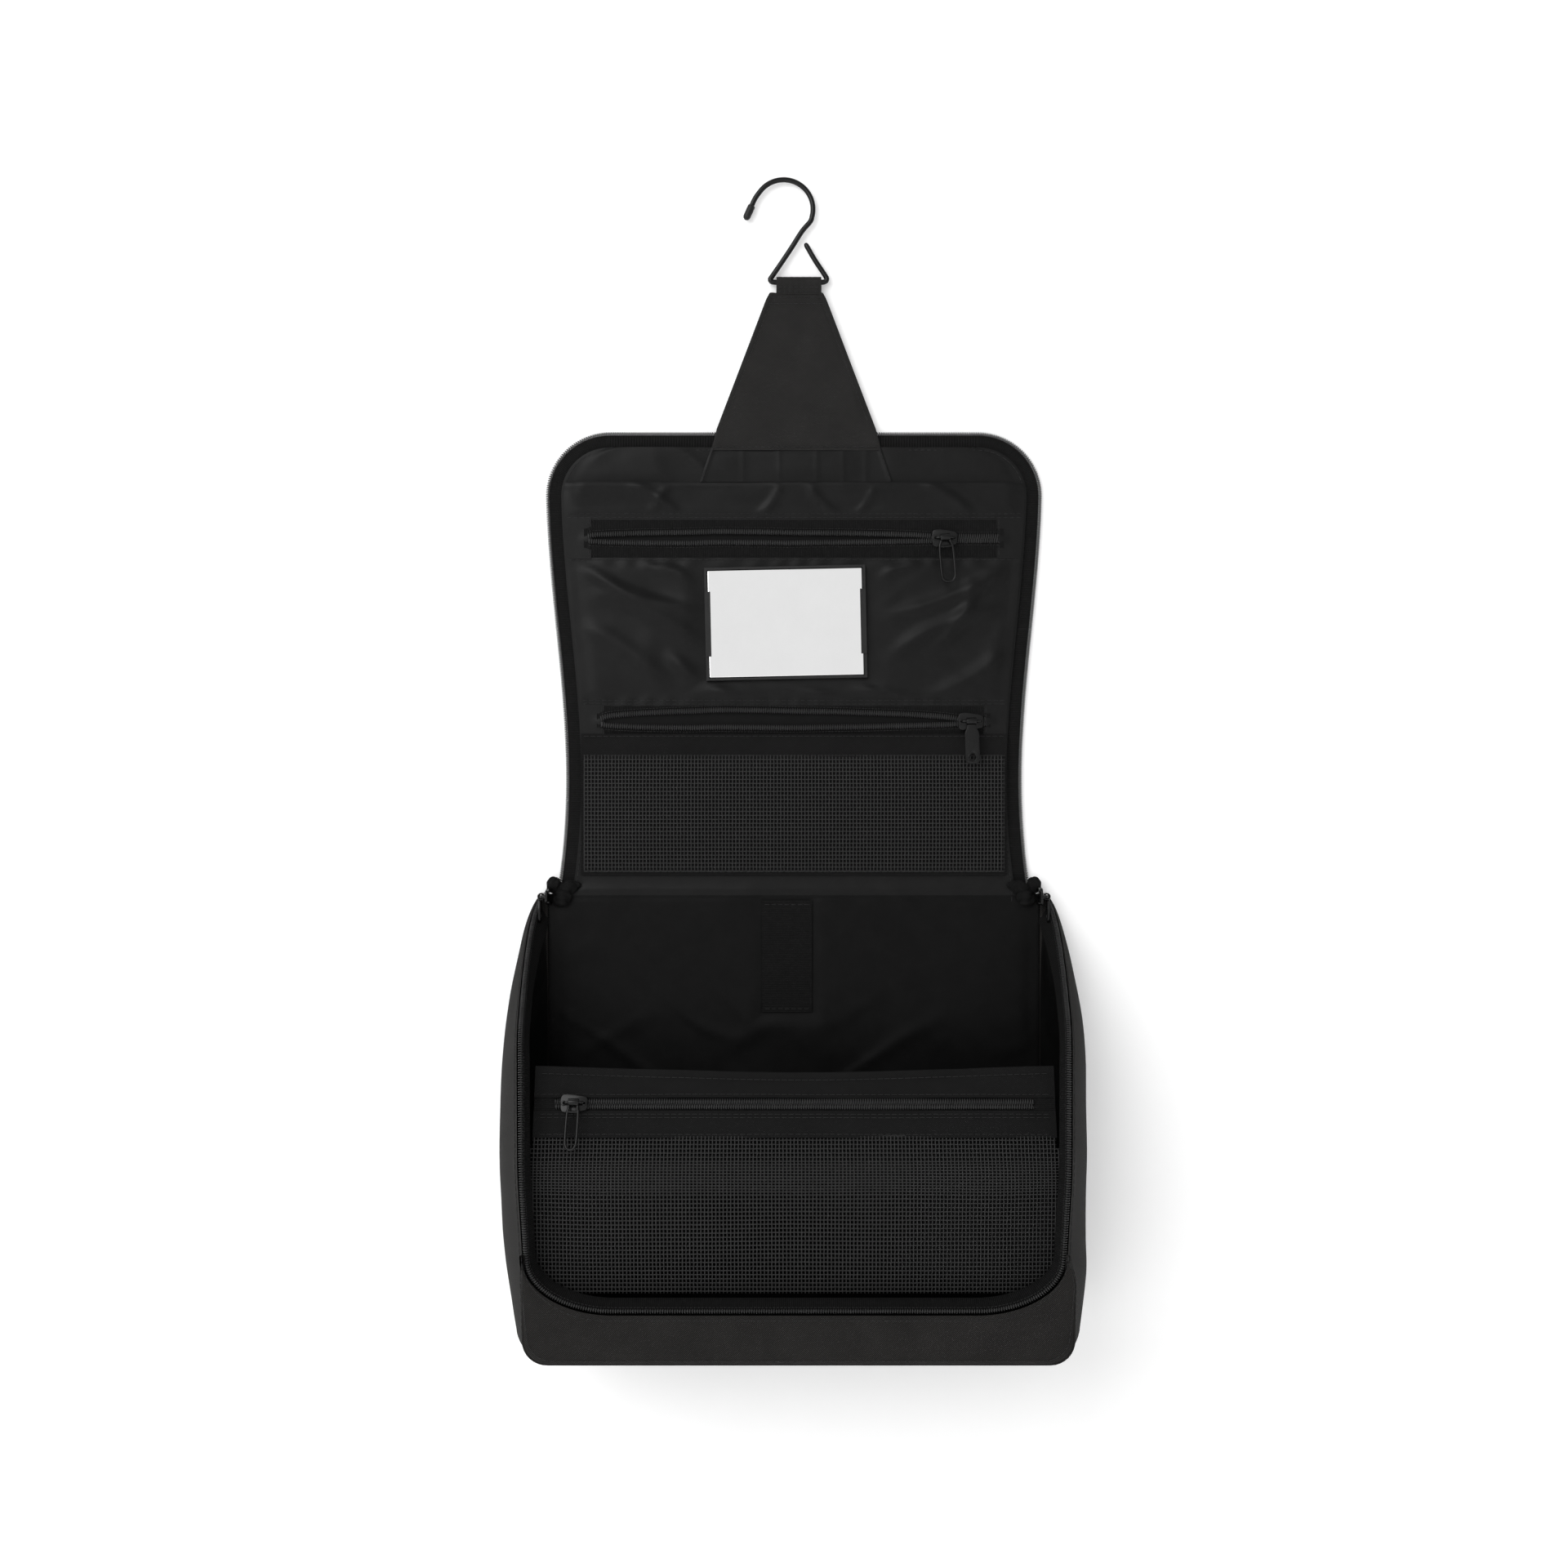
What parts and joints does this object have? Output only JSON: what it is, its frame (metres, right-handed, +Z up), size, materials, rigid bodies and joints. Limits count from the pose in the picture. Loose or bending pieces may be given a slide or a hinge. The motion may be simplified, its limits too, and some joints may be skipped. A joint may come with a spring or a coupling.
{
  "type": "hanging toiletry bag",
  "caption": "Hanging toiletry bag: steel hook on a strap, fold-up lid with zip pockets and mirror, and a zip-round body with a mesh pocket.",
  "frame": {"origin": "point under the hook's crown that bears on a peg, in the plane of the wire", "axes": "+Z up, -Y to the front (the side the open bag shows), +Y to the wall, +X to the right seen from the front"},
  "size_m": [0.263, 0.0866, 0.5293],
  "materials": {
    "canvas": "matt twill-woven polyester canvas",
    "strap": "matt twill-woven polyester canvas, double layer",
    "lining": "glossy plain-woven nylon, softly wrinkled",
    "mesh": "open knitted net",
    "tape": "ribbed woven zip tape",
    "coil": "nylon coil, semi-gloss",
    "coated_steel": "black lacquer, semi-gloss",
    "plastic": "moulded plastic, satin",
    "mirror": "silvered acrylic"
  },
  "bodies": {
    "hook": {"hook_wire": "coated_steel", "hook_tip": "plastic"},
    "strap": {"strap_loop": "strap", "strap_web": "strap"},
    "lid_top": {"strap_patch": "strap", "lid_top_canvas": "canvas", "lid_top_lining": "lining", "lid_top_tape": "tape", "lid_top_coil": "coil", "slip_pocket": "lining", "zip_one_tape": "tape", "zip_one_coil_upper": "coil", "zip_one_coil_lower": "coil"},
    "lid_mid": {"lid_mid_canvas": "canvas", "lid_mid_lining": "lining", "lid_mid_tape_right": "tape", "lid_mid_tape_left": "tape", "lid_mid_coil_right": "coil", "lid_mid_coil_left": "coil", "mirror_tray": "plastic", "mirror_plate": "mirror"},
    "lid_low": {"lid_low_canvas": "canvas", "lid_low_lining": "lining", "lid_low_tape_right": "tape", "lid_low_tape_left": "tape", "lid_low_coil_right": "coil", "lid_low_coil_left": "coil", "zip_two_tape": "tape", "zip_two_coil_upper": "coil", "zip_two_coil_lower": "coil", "lid_mesh_pocket": "mesh"},
    "zip_one_puller": {"zip_one_puller": "coated_steel"},
    "zip_two_puller": {"zip_two_puller": "coated_steel"},
    "zip_three_puller": {"zip_three_puller": "coated_steel"},
    "main_right_puller": {"main_right_puller": "coated_steel"},
    "main_left_puller": {"main_left_puller": "coated_steel"},
    "zip_one_slider": {"zip_one_slider": "coated_steel"},
    "zip_two_slider": {"zip_two_slider": "coated_steel"},
    "zip_three_slider": {"zip_three_slider": "coated_steel"},
    "body": {"body_coil": "coil", "body_tape": "tape", "back_canvas": "canvas", "back_lining": "lining", "gusset_right": "canvas", "gusset_left": "canvas", "lining_right": "lining", "lining_left": "lining", "gusset_bottom": "canvas", "lining_bottom": "lining", "front_panel": "canvas", "elastic_band": "tape", "front_pocket_band": "canvas", "zip_three_coil_upper": "coil", "zip_three_coil_lower": "coil", "front_pocket_mesh": "mesh", "front_pocket_back": "mesh", "main_right_slider": "coated_steel", "main_left_slider": "coated_steel"}
  },
  "joints": [
    {"name": "hook_swing", "type": "hinge", "parent": "hook", "child": "strap", "pos_m": [0.0068, 0, -0.0464], "axis": [-1, 0, 0], "range_deg": [0, 120]},
    {"name": "strap_fold", "type": "hinge", "parent": "strap", "child": "lid_top", "pos_m": [0.0057, -0.0024, -0.115], "axis": [1, 0, 0], "range_deg": [-165, 0]},
    {"name": "lid_bend_top", "type": "hinge", "parent": "lid_top", "child": "lid_mid", "pos_m": [0.0046, -0.0012, -0.176], "axis": [-1, 0, 0], "range_deg": [0, 24.2]},
    {"name": "lid_bend_low", "type": "hinge", "parent": "lid_mid", "child": "lid_low", "pos_m": [0.0046, -0.0012, -0.24], "axis": [-1, 0, 0], "range_deg": [0, 29.8]},
    {"name": "lid_close", "type": "hinge", "parent": "lid_low", "child": "body", "pos_m": [0.0046, -0.0005, -0.328], "axis": [-1, 0, 0], "range_deg": [0, 131]},
    {"name": "zip_one_travel", "type": "slide", "parent": "lid_top", "child": "zip_one_slider", "axis": [1, 0, 0], "range_m": [-0.158, 0.018]},
    {"name": "zip_one_pull", "type": "hinge", "parent": "zip_one_slider", "child": "zip_one_puller", "pos_m": [0.0745, -0.0064, -0.166], "axis": [1, 0, 0], "range_deg": [-120, 0]},
    {"name": "zip_two_travel", "type": "slide", "parent": "lid_low", "child": "zip_two_slider", "axis": [1, 0, 0], "range_m": [-0.163, 0]},
    {"name": "zip_two_pull", "type": "hinge", "parent": "zip_two_slider", "child": "zip_two_puller", "pos_m": [0.0866, -0.0064, -0.251], "axis": [1, 0, 0], "range_deg": [-120, 0]},
    {"name": "zip_three_travel", "type": "slide", "parent": "body", "child": "zip_three_slider", "axis": [1, 0, 0], "range_m": [0, 0.19]},
    {"name": "zip_three_pull", "type": "hinge", "parent": "zip_three_slider", "child": "zip_three_puller", "pos_m": [-0.0908, -0.06604, -0.41729], "axis": [1, 0, 0], "range_deg": [-120, 0]},
    {"name": "main_right_pull", "type": "hinge", "parent": "body", "child": "main_right_puller", "pos_m": [0.1214, -0.0052, -0.332], "axis": [0, 1, 0], "range_deg": [-110, 0]},
    {"name": "main_left_pull", "type": "hinge", "parent": "body", "child": "main_left_puller", "pos_m": [-0.1122, -0.0052, -0.332], "axis": [0, -1, 0], "range_deg": [-110, 0]}
  ],
  "couplings": [
    {"joint": "lid_bend_top", "follows": "lid_close", "ratio": 0.184},
    {"joint": "lid_bend_low", "follows": "lid_close", "ratio": 0.226}
  ]
}
